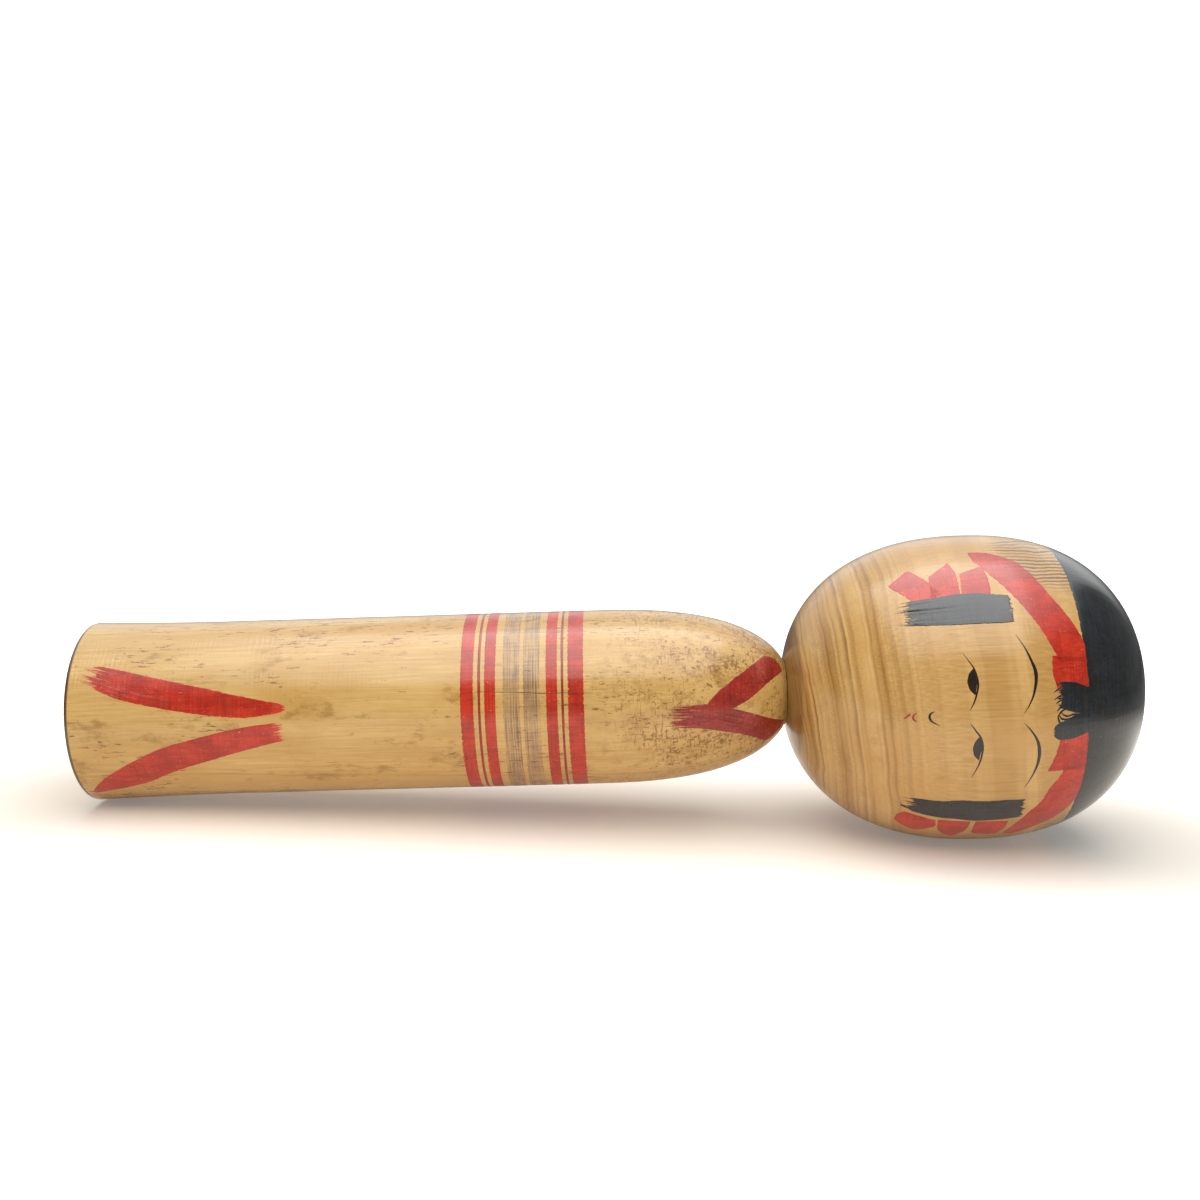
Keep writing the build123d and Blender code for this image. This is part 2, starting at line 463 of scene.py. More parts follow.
def addWoodFigure(sheet, look):
    place = sheet.scaled(sheet.flow("ShaderNodeTexCoord", output="Object"), 1 / mm)
    late, broad = addGrowthLayers(sheet, place, look)
    x, y, z = sheet.split(place)

    def pattern(name):
        return addPattern(sheet, place, name)

    def tint(amount, colour, name):
        return mixColour(sheet, amount, colour, look[name])

    # the layers are clear low down and nearly gone higher up, and stronger in some patches
    quiet = sheet.smoothStep(z, *look["quietFrom"])
    patches = sheet.smoothStep(pattern("patches"), 0.35, 0.65)
    lateShare = sheet.span(patches, 0, 1, look["lateShare"] * 0.45, look["lateShare"])
    lateHere = late * (lateShare * sheet.span(quiet, 0, 1, 1, 0.06))
    broad = broad + (0.53 - broad) * (quiet * 0.75)
    # harsh spots where crowded layers are cut along the grain and show as fine dark lines
    harsh = 0
    for centre, inner, outer, share in look["harshPlaces"]:
        harsh = sheet.largest(harsh, closeTo(sheet, place, centre, inner, outer) * share)
    lane = sheet.vector("DOT_PRODUCT", place, look["harshNormal"]) * look["harshCount"]
    lane = lane + pattern("drift") * 2.6
    offLine = sheet.math("ABSOLUTE", sheet.math("FRACT", lane) - 0.5)
    depth = sheet.noise(w=sheet.math("FLOOR", lane) * 5.3, scale=1, detail=0)
    depth = sheet.span(sheet.smoothStep(depth, 0.3, 0.6), 0, 1, 0.5, 1)
    isCheck = (1 - sheet.smoothStep(offLine, 0.12, 0.36)) * (harsh * depth)
    fibres = pattern("fibres")
    blotches = pattern("blotches")
    share = look["broadShare"]
    figure = broad * share + fibres * (1 - share)
    colour = mixColour(sheet, sheet.smoothStep(figure, 0.36, 0.64), look["dark"], look["pale"])
    colour = tint(sheet.smoothStep(blotches, 0.42, 0.72), colour, "aged")
    colour = tint(lateHere, colour, "lateColour")
    colour = tint(isCheck, colour, "harshColour")
    # tiny knots, each a ragged dark smudge
    for centre, size in look["knots"]:
        ragged = sheet.noise(place, scale=1.6, detail=3) * (0.9 * size)
        near = sheet.vector("DISTANCE", place, centre) + ragged
        isKnot = 1 - sheet.smoothStep(near, 0.5 * size, 1.5 * size)
        colour = tint(isKnot * 0.75, colour, "harshColour")
    # soft handling stains
    stains = pattern("stains")
    isStain = sheet.smoothStep(stains, 0.53, 0.68) * look["stainShare"]
    colour = tint(isStain, colour, "stainColour")
    # short dark dashes along the grain, gathered in patches
    crowding = sheet.smoothStep(pattern("crowding"), 0.42, 0.62)
    dashes = pattern("dashes")
    dashFrom = sheet.span(crowding * look["dashAmount"], 0, 1, 0.69, 0.565)
    isDash = sheet.smoothStep(dashes - dashFrom, 0.0, 0.06)
    # scuffs round the lathe axis and small dark pits, thick on the worn stretch
    worn = sheet.smoothStep(z, *look["wornFrom"])
    scuffs = pattern("scuffs")
    isScuff = sheet.smoothStep(scuffs, 0.56, 0.62) * (worn * crowding)
    pits = pattern("pits")
    pitFrom = sheet.span(worn, 0, 1, 0.72, sheet.span(crowding, 0, 1, 0.6, 0.55))
    isPit = sheet.smoothStep(pits - pitFrom, 0.0, 0.04)
    marks = sheet.largest(sheet.largest(isDash, isScuff), isPit)
    colour = tint(marks * look["markShare"], colour, "markColour")
    # yellow-brown mottle of old varnish on the worn stretch
    mottle = pattern("mottle")
    isMottle = sheet.smoothStep(mottle, 0.48, 0.66) * sheet.span(worn, 0, 1, 0.1, 0.75)
    colour = tint(isMottle * look["stainShare"], colour, "stainColour")
    # darker at a rim: on the head it is painted shade in the ring where the chin meets the neck, and on the
    # body a darker line along the foot's bottom edge
    radius = sheet.vector("LENGTH", sheet.join(x, y, 0))
    isRim = sheet.smoothStep(radius, *look["rimRadius"]) * (1 - sheet.smoothStep(z, *look["rimHeight"]))
    colour = tint(isRim * look["rimShare"], colour, "rimColour")
    # fine rings left by the gouge and sandpaper
    rings = pattern("rings")
    lines = sheet.largest(lateHere, isCheck)
    height = fibres * 0.5 + rings * 0.5 - marks * 0.8 - lines * 0.4
    return {"place": place, "colour": colour, "height": height, "fibres": fibres, "blotches": blotches,
            "rings": rings, "lines": lines, "marks": marks}


def addFinish(sheet, material, colour, figure, look):
    # waxed surface: satin base under a thin clear coat, duller where it is marked
    bump = sheet.flow("ShaderNodeBump", {
        "Strength": look["bumpStrength"], "Distance": look["bumpMm"] * mm, "Height": figure["height"]})
    rough = sheet.span(figure["blotches"], 0.3, 0.7, look["roughness"] - 0.05, look["roughness"] + 0.07)
    rough = rough + figure["marks"] * 0.2
    shader = sheet.flow("ShaderNodeBsdfPrincipled", {
        "Base Color": colour, "Roughness": rough, "Specular IOR Level": 0.15, "Normal": bump,
        "Coat Weight": look["coat"], "Coat Roughness": look["coatRoughness"]})
    sheet.node("ShaderNodeOutputMaterial", {"Surface": shader})
    return material


def makeWood(name, look):
    material, sheet = newMaterial(name)
    figure = addWoodFigure(sheet, look)
    return addFinish(sheet, material, figure["colour"], figure, look)


def makeDye(name, wood, dye):
    # dye sinks into the wood: the figure shows through, and dry bristles leave bare streaks
    material, sheet = newMaterial(name)
    look = {**wood, **dye}
    figure = addWoodFigure(sheet, look)
    place, bare = figure["place"], figure["colour"]
    clouds = addPattern(sheet, place, "clouds")
    density = figure["fibres"] * 0.4 + clouds * 0.6
    colour = mixColour(sheet, sheet.smoothStep(density, 0.38, 0.62), dye["deep"], dye["light"])
    # rings of thicker colour where it was held against the turning wood, and grain lines under it
    ringLines = sheet.smoothStep(figure["rings"], 0.5, 0.66) * dye["ringShare"]
    colour = mixColour(sheet, ringLines, colour, dye["deep"])
    under = sheet.largest(figure["lines"], figure["marks"] * 0.5)
    colour = mixColour(sheet, under * dye["grainShow"], colour, dye["grainColour"])
    # thin places let the bare wood through
    cover = sheet.span(figure["rings"], 0.36, 0.64, *dye["cover"])
    cover = cover - sheet.smoothStep(clouds, 0.5, 0.7) * dye["cloudShow"]
    colour = mixColour(sheet, cover, bare, colour)
    brushed = sheet.flow("ShaderNodeAttribute", output="Vector", attribute_name="brushPlace")
    dryness = sheet.flow("ShaderNodeAttribute", output="Fac", attribute_name="dryness")
    streaks = addPattern(sheet, brushed, "streaks")
    limit = sheet.span(dryness, 0, 1, dye["wetLimit"], dye["dryLimit"])
    missed = sheet.smoothStep(streaks - limit, 0.0, 0.06)
    colour = mixColour(sheet, missed * dye["missShare"], colour, bare)
    # small worn spots where the coat has been knocked off
    wear = addPattern(sheet, place, "wear")
    isWorn = sheet.smoothStep(wear, dye["wearLimit"], dye["wearLimit"] + 0.04)
    colour = mixColour(sheet, isWorn * dye["wearShare"], colour, dye["wearColour"])
    return addFinish(sheet, material, colour, figure, look)


def srgb(red, green, blue):
    # screen values 0 to 255 to a linear colour
    def linear(value):
        share = value / 255
        return share / 12.92 if share <= 0.04045 else ((share + 0.055) / 1.055) ** 2.4
    return (linear(red), linear(green), linear(blue), 1)


# lengths are in mm; a range beyond the piece, such as wornFrom on the head, leaves that feature out
headWoodLook = {
    "layerNormal": (-0.12, -0.08, 0.99), "layerBow": 1e5, "layerWarp": 3.0, "warpGrain": (0.04, 0.04, 0.03),
    "layerStart": 200.0, "layerSpread": 0.6, "layerCount": 3.2, "broadShare": 0.75,
    "pale": srgb(218, 177, 113), "dark": srgb(172, 126, 60), "aged": srgb(200, 154, 88),
    "lateColour": srgb(118, 76, 32), "lateShare": 0.7, "quietFrom": (214, 238),
    "harshPlaces": (((-38, -16, 269), 9, 17, 1.0), ((35, -19, 274), 4, 11, 0.5)),
    "knots": (((-27.9, -13.4, 214.2), 0.8), ((-14.5, -24.6, 210.7), 1.0)),
    "harshNormal": (1.0, -0.1, -0.03), "harshCount": 1.1, "harshColour": srgb(64, 40, 18),
    "markColour": srgb(112, 72, 34), "markShare": 0.4, "stainColour": srgb(168, 122, 58), "stainShare": 0.28,
    # the rim entries below paint shade in the ring where the chin meets the neck
    "dashAmount": 0.3, "wornFrom": (400, 500), "rimRadius": (8.5, 9.0), "rimHeight": (203.0, 203.8),
    "rimShare": 0.6, "rimColour": srgb(112, 76, 36), "bumpStrength": 0.3, "bumpMm": 0.05,
    "roughness": 0.38, "coat": 0.9, "coatRoughness": 0.17,
}
bodyWoodLook = {
    **headWoodLook, "layerNormal": (0.15, 0.98, -0.04), "layerBow": 160.0, "layerWarp": 4.0,
    "warpGrain": (0.035, 0.035, 0.012), "layerStart": -100.0, "layerSpread": 1.0, "layerCount": 0.4,
    "pale": srgb(224, 186, 120), "dark": srgb(204, 162, 94), "aged": srgb(204, 160, 90), "broadShare": 0.4,
    "lateShare": 0.2, "quietFrom": (900, 1000), "harshPlaces": (), "knots": (),
    "stainColour": srgb(156, 114, 48), "stainShare": 0.7, "markColour": srgb(122, 74, 14), "markShare": 0.8,
    "dashAmount": 1.0, "wornFrom": (135, 172), "rimRadius": (24.6, 25.3), "rimHeight": (0.9, 1.4),
    "rimShare": 0.9, "rimColour": srgb(70, 44, 26),
}
redLook = {
    "light": srgb(204, 48, 26), "deep": srgb(168, 26, 12), "grainColour": srgb(110, 24, 12),
    "grainShow": 0.75, "ringShare": 0.35, "cover": (0.94, 1.0), "cloudShow": 0.0,
    "wetLimit": 0.74, "dryLimit": 0.42, "missShare": 0.85,
    "wearLimit": 0.66, "wearShare": 0.45, "wearColour": srgb(236, 150, 118),
}
collarRedLook = {
    **redLook, "light": srgb(172, 44, 36), "deep": srgb(134, 22, 22), "wearLimit": 0.64,
    "wearColour": srgb(222, 130, 116), "dryLimit": 0.36,
}
blackLook = {
    "light": srgb(31, 41, 48), "deep": srgb(16, 24, 29), "grainColour": srgb(9, 12, 15), "grainShow": 0.3,
    "ringShare": 0.3, "cover": (0.97, 1.0), "cloudShow": 0.0, "wetLimit": 0.80, "dryLimit": 0.42,
    "missShare": 0.8, "wearLimit": 0.665, "wearShare": 0.3, "wearColour": srgb(110, 118, 122),
    "coat": 1.0, "coatRoughness": 0.12, "roughness": 0.34,
}
lineLook = {
    **blackLook, "light": srgb(34, 24, 20), "deep": srgb(18, 12, 12),
    "wetLimit": 1.2, "dryLimit": 1.2, "wearLimit": 0.9,
}
purpleLook = {
    "light": srgb(172, 136, 112), "deep": srgb(106, 76, 74), "grainColour": srgb(84, 56, 50),
    "grainShow": 0.8, "ringShare": 0.7, "cover": (0.15, 0.9), "cloudShow": 0.12,
    "wetLimit": 1.2, "dryLimit": 1.2, "missShare": 0.7,
    "wearLimit": 0.68, "wearShare": 0.5, "wearColour": srgb(214, 176, 130),
}
mouthLook = {**lineLook, "light": srgb(168, 58, 40), "deep": srgb(122, 34, 24)}
crackLook = {**lineLook, "light": srgb(84, 50, 22), "deep": srgb(60, 34, 14)}

woodBody = makeWood("waxedWoodBody", bodyWoodLook)
woodHead = makeWood("waxedWoodHead", headWoodLook)
redOnBody = makeDye("redDyeOnBody", bodyWoodLook, redLook)
redOnCollar = makeDye("redDyeOnCollar", bodyWoodLook, collarRedLook)
redOnHead = makeDye("redDyeOnHead", headWoodLook, redLook)
blackOnHead = makeDye("blackInkOnHead", headWoodLook, blackLook)
linesOnHead = makeDye("fineInkOnHead", headWoodLook, lineLook)
mouthOnHead = makeDye("mouthDyeOnHead", headWoodLook, mouthLook)
purpleOnBody = makeDye("purpleDyeOnBody", bodyWoodLook, purpleLook)
crackedWood = makeDye("crackInBody", bodyWoodLook, crackLook)
print("materials made")


turnedLook = {
    "ringSpacing": 0.55, "shoulderHeight": 147.0, "shoulderFullness": 2.46, "shoulderSteps": 110,
    "chestRadius": 25.1, "waistHeight": 42.0, "edgeWear": 0.8, "neckRadius": 9.6, "neckBevel": 0.3,
    "boreRadius": 6.05, "boreDepth": 24.0, "boreMouth": 0.5, "seatGap": 0.2, "seatOverhang": 0.3,
    "pegRadius": 6.0, "pegBevel": 1.2, "widestAboveSeat": 51.3, "crownFullness": 2.34, "crownSteps": 130,
    "chinFullness": 2.26, "chinSteps": 120, "segments": 160, "toolMarkDepth": 0.012, "toolMarkPitch": 1.4,
    "unevenness": 0.12,
}


def roundedQuarter(widest, end, start, reach, fullness, steps):
    # superellipse from its widest circle to end; a negative reach runs downwards
    lastAngle = acos((end / widest) ** (fullness / 2))
    return [(widest * cos(lastAngle * step / steps) ** (2 / fullness),
             start + reach * sin(lastAngle * step / steps) ** (2 / fullness)) for step in range(steps + 1)]


def fullReach(span, end, widest, fullness):
    return span / (1 - (end / widest) ** fullness) ** (1 / fullness)


def straight(start, end, spacing):
    # points after start, up to and with end
    length = (Vector(end) - Vector(start)).length
    count = max(1, round(length / spacing))
    return [tuple(Vector(start).lerp(Vector(end), step / count)) for step in range(1, count + 1)]


def worn(corner, before, after, size, steps=5):
    # a corner rounded off by a Bezier of the given size towards its two neighbours
    corner, before, after = Vector(corner), Vector(before), Vector(after)
    first = corner + (before - corner).normalized() * size
    last = corner + (after - corner).normalized() * size
    shares = [step / steps for step in range(steps + 1)]
    return [tuple(first.lerp(corner, share).lerp(corner.lerp(last, share), share)) for share in shares]


def bodyOutline(look):
    top, foot = bodyHigh.z / mm, bodyHigh.x / mm
    chest, neck, waist, wear = look["chestRadius"], look["neckRadius"], look["waistHeight"], look["edgeWear"]
    bevel, mouth, bore = look["neckBevel"], look["boreMouth"], look["boreRadius"]
    shoulder, fullness = look["shoulderHeight"], look["shoulderFullness"]
    # the foot's flare is an arc that ends upright at the waist
    rise, flare = waist - wear, foot - chest
    arcRadius = (rise ** 2 + flare ** 2) / (2 * flare)
    points = [(0, 0)] + straight((0, 0), (foot - 2.2, 0), 1.5)
    points += worn((foot, 0), (0, 0), (foot, 10), wear * 1.4)
    height = points[-1][1]
    while height < waist - look["ringSpacing"]:
        height += look["ringSpacing"]
        flareHere = arcRadius - (arcRadius ** 2 - (waist - height) ** 2) ** 0.5
        points.append((chest + flareHere, height))
    points += straight((chest, waist), (chest, shoulder), look["ringSpacing"])
    reach = fullReach(top - bevel - shoulder, neck, chest, fullness)
    points += roundedQuarter(chest, neck, shoulder, reach, fullness, look["shoulderSteps"])[1:]
    points += [(neck - bevel, top)] + straight((neck - bevel, top), (bore + mouth, top), 1.0)
    points += [(bore, top - mouth), (bore, top - look["boreDepth"]), (0, top - look["boreDepth"])]
    return [(x * mm, z * mm) for x, z in points]


def headOutline(look):
    top, bottom, widest = headHigh.z / mm, headLow.z / mm, headHigh.x / mm
    seat = bodyHigh.z / mm + look["seatGap"]
    middle = seat + look["widestAboveSeat"]
    seatRadius, peg, bevel = look["neckRadius"] + look["seatOverhang"], look["pegRadius"], look["pegBevel"]
    chinReach = fullReach(look["widestAboveSeat"], seatRadius, widest, look["chinFullness"])
    chin = roundedQuarter(widest, seatRadius, middle, -chinReach, look["chinFullness"], look["chinSteps"])
    crown = roundedQuarter(widest, 0, middle, top - middle, look["crownFullness"], look["crownSteps"])
    points = [(0, bottom), (peg - bevel, bottom), (peg, bottom + bevel), (peg, seat)]
    points += straight((peg, seat), (seatRadius, seat), 1.0)[:-1] + chin[::-1] + crown[1:]
    points[-1] = (0, top)
    return [(x * mm, z * mm) for x, z in points]


latheTree = makeLatheTree()
strokeTree = makeStrokeTree()
bandTree = makeBandTree()
capTree = makeCapTree()


def turnPiece(name, look, outline, material, body, seed):
    helper = temporaryCurve(name + "Outline", outline(look), smooth=False)
    piece = growPiece(name, latheTree, body, {
        "Outline": helper, "Segments": look["segments"], "Tool Mark Depth": look["toolMarkDepth"] * mm,
        "Tool Mark Pitch": look["toolMarkPitch"] * mm, "Unevenness": look["unevenness"] * mm,
        "Seed": seed, "Material": material,
    })
    removeCurve(helper)
    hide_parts(body)
    return piece


turnedBody = turnPiece("turned_body", turnedLook, bodyOutline, woodBody, "body", 1)
turnedHead = turnPiece("turned_head", turnedLook, headOutline, woodHead, "head", 2)
print("turned wood:", len(turnedBody.data.polygons), "and", len(turnedHead.data.polygons), "faces")


def paintStroke(name, points, surfaceRadius, wood, material, body, slot, seed,
                steps=90, bristles=48, wobble=0.5, lift=0.03, **ends):
    # points are (degrees round from the face, height in mm, half width in mm)
    flat = [(radians(turn) * surfaceRadius * mm, height * mm, width) for turn, height, width in points]
    helper = temporaryCurve(name + "Path", flat, smooth=True)
    shaped = {"Ragged Start": "raggedStart", "Ragged End": "raggedEnd", "Slant Start": "slantStart",
              "Slant End": "slantEnd", "Round Start": "roundStart", "Round End": "roundEnd"}
    piece = growPiece(name, strokeTree, body, {
        "Path": helper, "Wood": wood, "Steps": steps, "Bristles": bristles,
        "Surface Radius": surfaceRadius * mm, "Edge Wobble": wobble * mm, "Lift": lift * mm,
        "Seed": seed, "Material": material,
        **{label: ends.get(end, 0) * mm for label, end in shaped.items()},
    })
    removeCurve(helper)
    return piece


footStrokes = {
    "foot_stroke_left": {
        "points": [(-34.8, 3.4, 2.0), (-31.5, 9, 3.5), (-26, 16.5, 4.2), (-20, 27, 4.1),
                   (-14.5, 38.5, 3.8), (-10, 50, 3.0), (-9, 59, 1.5), (-9, 62, 0.4)],
        "raggedStart": 5.5, "raggedEnd": 1.2, "seed": 3},
    "foot_stroke_right": {
        "points": [(54, 2.6, 0.3), (48.5, 6, 1.9), (43, 10.2, 3.4), (35, 17.5, 4.4), (24.5, 27, 4.3),
                   (16.5, 38.5, 3.9), (10, 50, 3.4), (6.5, 59, 2.8), (6, 61.8, 2.4)],
        "raggedStart": 1.0, "raggedEnd": 2.8, "seed": 4},
}
for name, stroke in footStrokes.items():
    paintStroke(name, surfaceRadius=bodyHigh.x / mm, wood=turnedBody, material=redOnBody, body="body",
                slot="red_dye", **stroke)

collarStrokes = {
    "collar_stroke_left": {
        "points": [(-52, 197.2, 2.9), (-40, 195.4, 3.2), (-24, 191, 3.4), (-13, 186.5, 3.5),
                   (-5, 181.5, 2.8), (0, 177, 1.2)],
        "surfaceRadius": 19, "roundStart": 3.6, "roundEnd": 1.0, "wobble": 0.35, "seed": 5},
    "collar_stroke_right": {
        "points": [(3.2, 161.6, 1.6), (4.2, 166.5, 2.3), (5, 170, 2.7), (5.5, 176, 3.3),
                   (10.5, 183, 3.5), (19, 189.5, 3.6), (33.5, 194.7, 3.6), (50, 196.8, 3.0)],
        "surfaceRadius": 21, "raggedStart": 6.5, "roundEnd": 3.0, "wobble": 0.35, "seed": 6},
}
for name, stroke in collarStrokes.items():
    paintStroke(name, wood=turnedBody, material=redOnCollar, body="body", slot="red_dye", **stroke)


bandLook = {"edgeWobble": 0.35, "lift": 0.03, "segments": 240, "rows": 6}


def paintBand(name, low, high, material, seed):
    growPiece(name, bandTree, "body", {
        "Wood": turnedBody, "Low": low * mm, "High": high * mm, "Edge Wobble": bandLook["edgeWobble"] * mm,
        "Segments": bandLook["segments"], "Rows": bandLook["rows"], "Lift": bandLook["lift"] * mm,
        "Seed": seed, "Material": material,
    })


redBands = {
    "red_band_lowest": (109.4, 113.0), "red_line_lower": (114.2, 114.95), "red_band_lower": (116.0, 119.05),
    "red_band_upper": (132.9, 136.0), "red_line_upper": (137.05, 137.75), "red_band_top": (138.85, 143.2),
}
purpleBands = {"purple_band_lower": (121.05, 125.7), "purple_band_upper": (126.65, 131.2)}
for seed, (name, (low, high)) in enumerate(redBands.items()):
    paintBand(name, low, high, redOnCollar if "line" in name else redOnBody, seed + 10)
for seed, (name, (low, high)) in enumerate(purpleBands.items()):
    paintBand(name, low, high, purpleOnBody, seed + 20)

# a hair-fine drying crack runs with the grain across the bands
paintStroke("drying_crack", [(-16, 113.5, 0.03), (-15, 120.5, 0.08), (-14.5, 126, 0.11),
                             (-13.5, 132.5, 0.12), (-13.5, 139.5, 0.05), (-13, 145.5, 0.02)],
            surfaceRadius=25.1, wood=turnedBody, material=crackedWood, body="body", slot="wood_body", seed=9,
            bristles=4, wobble=0.05, lift=0.045)

capLook = {
    "middleAboveSeat": 51.5, "edgeHeight": 274.0, "edgeRadius": 40.3, "edgeWobble": 0.8, "lift": 0.04,
    "segments": 240, "rows": 60,
}
growPiece("crown_cap", capTree, "head", {
    "Wood": turnedHead, "Middle Height": bodyHigh.z + capLook["middleAboveSeat"] * mm,
    "Edge Height": capLook["edgeHeight"] * mm, "Edge Radius": capLook["edgeRadius"] * mm,
    "Edge Wobble": capLook["edgeWobble"] * mm, "Lift": capLook["lift"] * mm,
    "Segments": capLook["segments"], "Rows": capLook["rows"], "Seed": 31, "Material": blackOnHead,
})

headRed = {
    "ribbon_left": {
        "points": [(-67, 249, 0.4), (-63.4, 251.8, 3.3), (-56.8, 256.6, 5.1), (-49.2, 260.1, 4.9),
                   (-41, 263.4, 4.5), (-34, 266.4, 4.6), (-28.3, 268.6, 4.7), (-24, 269.9, 4.6),
                   (-20, 270.4, 4.1), (-17, 270.6, 4.0)],
        "wobble": 0.6, "seed": 41},
    "ribbon_left_near": {
        "points": [(-20.2, 269.7, 4.7), (-15, 269.6, 4.9), (-7.4, 270.7, 4.4)],
        "raggedEnd": 0.5, "wobble": 0.6, "seed": 49},
    "ribbon_right_near": {
        "points": [(5, 272.5, 2.6), (9, 271, 4.0), (16.5, 270.3, 4.7), (22.8, 269.6, 5.7)],
        "slantEnd": 0.8, "wobble": 0.6, "seed": 50},
    "ribbon_right": {
        "points": [(21, 271.9, 3.1), (26, 271.2, 3.8), (31.5, 270, 4.8), (39.5, 268.5, 5.3),
                   (45, 266, 5.3), (52, 262, 3.8), (60.5, 258, 1.6)],
        "raggedEnd": 1.0, "wobble": 0.6, "seed": 42},
    "petal_left_low": {
        "points": [(-43, 236, 3.4), (-46, 234.6, 3.6), (-50.5, 232.5, 3.8), (-55, 230.2, 3.8),
                   (-58.5, 228.8, 3.6)],
        "slantEnd": 1.6, "roundEnd": 0.5, "seed": 43},
    "petal_left_middle": {
        "points": [(-42, 239.6, 3.9), (-48.5, 240, 3.8), (-54, 240.2, 3.6), (-57.5, 240, 3.3),
                   (-61, 239.9, 2.8)],
        "slantEnd": 4.6, "roundEnd": 0.3, "seed": 44},
    "petal_left_high": {
        "points": [(-42, 247.6, 3.7), (-47, 248, 3.8), (-52, 248.2, 3.6), (-55.5, 248.2, 3.3),
                   (-58, 248.3, 2.6)],
        "slantEnd": 2.8, "roundEnd": 0.6, "seed": 45},
    "petal_right_low": {
        "points": [(46, 233.3, 4.3), (50, 232.6, 5.4), (53.5, 232.4, 5.3), (57, 232.5, 3.2),
                   (59.5, 232.5, 0.8)],
        "roundEnd": 0.5, "wobble": 0.35, "seed": 46},
    "petal_right_middle": {
        "points": [(46.5, 242.3, 4.3), (52, 242.4, 4.1), (56, 242.6, 3.4), (59, 243, 2.2),
                   (61, 243.8, 0.8)],
        "roundEnd": 0.5, "wobble": 0.35, "seed": 47},
    "petal_right_high": {
        "points": [(46.5, 252.3, 4.4), (52, 252.2, 4.4), (56, 251.8, 3.9), (59, 251.4, 3.2)],
        "roundEnd": 1.2, "wobble": 0.35, "seed": 48},
}
headBlack = {
    "side_lock_left": {
        "points": [(-39.5, 226, 3.6), (-39, 231, 4.1), (-38.5, 236.5, 4.4), (-38.5, 242, 4.8),
                   (-38.5, 247.5, 4.8), (-38, 253, 4.4), (-38, 257, 4.0)],
        "raggedStart": 4.6, "raggedEnd": 1.1, "wobble": 0.3, "seed": 51},
    "side_lock_right": {
        "points": [(39, 227.5, 2.6), (39.5, 232, 3.4), (40, 238, 3.9), (39.5, 243, 4.4),
                   (40, 247.5, 4.6), (39.5, 254.5, 4.5), (39, 260.3, 4.0)],
        "raggedStart": 3.6, "raggedEnd": 1.2, "wobble": 0.3, "seed": 52},
    "tuft_upper": {
        "points": [(-3.6, 275.5, 3.5), (-5.0, 271.5, 4.0), (-5.9, 269.5, 4.0), (-6.5, 267.2, 3.7),
                   (-6.5, 265.3, 3.1)],
        "raggedEnd": 1.5, "wobble": 0.2, "lift": 0.07, "seed": 53},
    "tuft_lower": {
        "points": [(3.4, 275.5, 3.2), (4.6, 272, 3.3), (5.8, 269.5, 3.0), (6.3, 267, 2.6),
                   (6.3, 264.5, 2.2)],
        "raggedEnd": 0.6, "roundEnd": 2.4, "wobble": 0.3, "lift": 0.075, "seed": 54},
}
faceLines = {
    "brow_left": [(-28, 256, 0.06), (-23, 258, 0.19), (-19, 259.2, 0.32), (-14.5, 260.2, 0.5),
                  (-9, 259.8, 0.33), (-4.5, 258.6, 0.18), (-0.5, 256.8, 0.04)],
    "brow_right": [(2.5, 256.8, 0.04), (5.5, 258.8, 0.2), (9.5, 260.6, 0.36), (13, 261.2, 0.48),
                   (16.5, 261.2, 0.42), (20.5, 260.6, 0.27), (25, 259.4, 0.13), (28, 258.4, 0.04)],
    "eye_line_left": [(-22, 242, 0.04), (-19, 243.4, 0.14), (-16.5, 244.5, 0.2), (-13, 245.2, 0.24),
                      (-10.5, 245.3, 0.25), (-8, 244.9, 0.24), (-5, 244.2, 0.2), (-2, 243, 0.05)],
    "eye_line_right": [(2, 243, 0.04), (5, 244.6, 0.2), (7.5, 245.9, 0.24), (10.5, 246.5, 0.25),
                       (13.5, 246.4, 0.25), (16.5, 246, 0.23), (19.5, 245.3, 0.15), (23, 244.2, 0.05)],
    "pupil_left": [(-16.6, 244.5, 0.1), (-14.6, 244, 0.85), (-12, 243.9, 1.3), (-9.7, 244, 0.95),
                   (-7.5, 244.5, 0.15)],
    "pupil_right": [(7.3, 245.6, 0.15), (9.2, 245.3, 0.9), (11.3, 245.2, 1.25), (13.7, 245.2, 0.85),
                    (15.8, 245.7, 0.1)],
    "nose_line": [(-1.9, 234.4, 0.06), (-0.9, 233.3, 0.26), (0.9, 233.2, 0.3), (3.3, 235.6, 0.07)],
    # the tuft's loose hairs, from the crown down and out to their tips
    "tuft_hair_1": [(-8.2, 271, 0.2), (-9.3, 268, 0.3), (-8.7, 266.2, 0.3), (-7.4, 264.6, 0.08)],
    "tuft_hair_2": [(-6, 271, 0.16), (-6.8, 268, 0.27), (-6.2, 266.3, 0.27), (-5, 264.8, 0.08)],
    "tuft_hair_3": [(-4.5, 271, 0.16), (-4.9, 268, 0.27), (-4.6, 266.4, 0.27), (-3.4, 265.2, 0.08)],
    "tuft_hair_4": [(-2.6, 271, 0.16), (-3.2, 268, 0.27), (-2.2, 266.5, 0.27), (-0.9, 265.5, 0.08)],
    "tuft_hair_5": [(-0.6, 271, 0.18), (-1.6, 268.4, 0.27), (-0.6, 266.6, 0.27), (1, 265.8, 0.08)],
    "tuft_hair_6": [(0.8, 272, 0.18), (0.6, 270, 0.27), (1, 268, 0.27), (-0.5, 266.4, 0.08)],
    "tuft_hair_7": [(1.8, 269.6, 0.18), (2, 267, 0.27), (0.2, 265.9, 0.08)],
    "tuft_hair_8": [(0.4, 265.8, 0.1), (2, 265.9, 0.27), (3.4, 266.5, 0.27), (3.2, 268.6, 0.27)],
}
